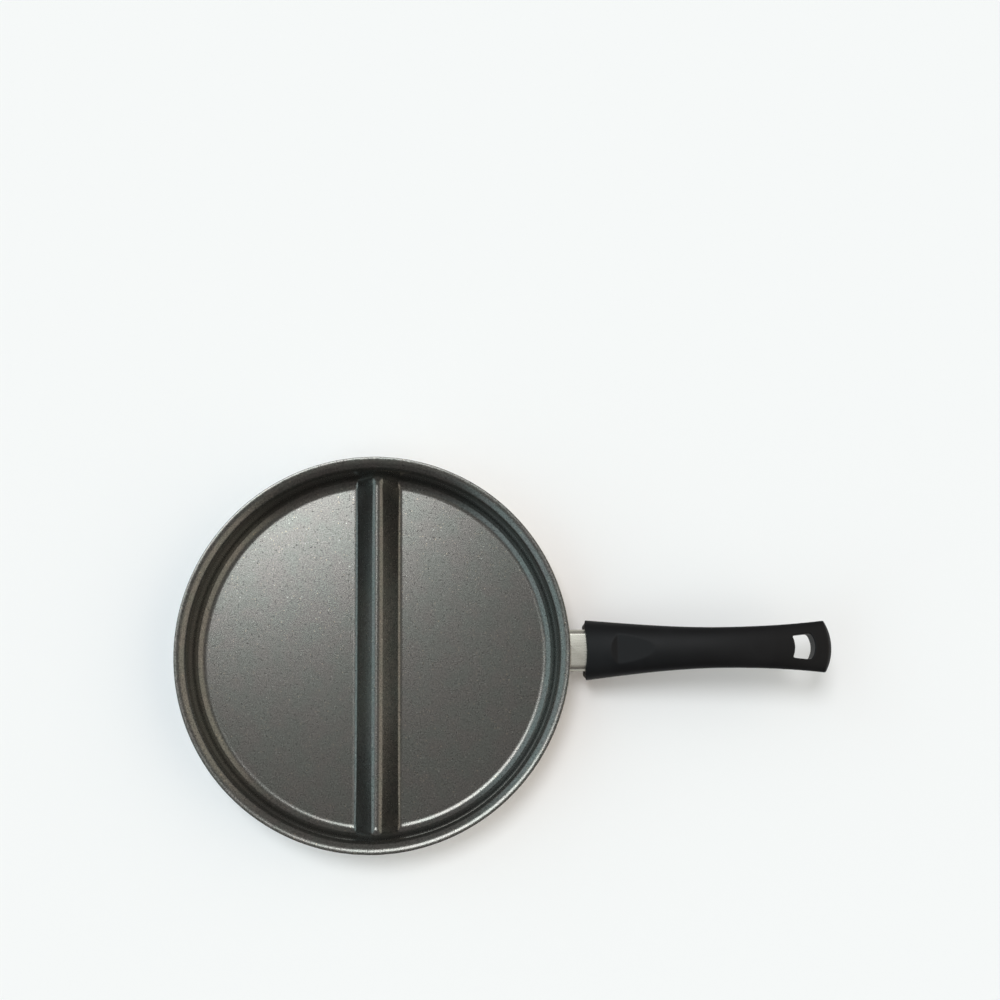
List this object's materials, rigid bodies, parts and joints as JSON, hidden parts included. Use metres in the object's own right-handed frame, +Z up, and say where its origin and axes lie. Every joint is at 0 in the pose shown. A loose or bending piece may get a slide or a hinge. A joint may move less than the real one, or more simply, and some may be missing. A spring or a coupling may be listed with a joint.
{
  "type": "divided frying pan",
  "caption": "Shallow round frying pan with a flared lip, a pressed ridge that divides it into halves, and a long moulded handle with a hanging hole.",
  "frame": {"origin": "on the dish's axis, at the level of the table it stands on", "axes": "+X from the dish's axis out along the handle, +Z up; the ridge runs along Y"},
  "size_m": [0.4301, 0.26, 0.0502],
  "materials": {
    "coated_aluminium": "speckled non-stick coat inside, pale speckled enamel outside, bare turned lip edge",
    "sleeve_steel": "satin",
    "zinc_steel": "bright zinc",
    "boss_aluminium": "turned",
    "bakelite": "semi-matte moulded"
  },
  "bodies": {
    "root": {"pan_body": "coated_aluminium", "weld_stud": "boss_aluminium", "neck_sleeve": "sleeve_steel", "handle_grip": "bakelite", "flat_washer": "zinc_steel", "lock_washer": "zinc_steel", "handle_screw": "zinc_steel"}
  },
  "joints": []
}
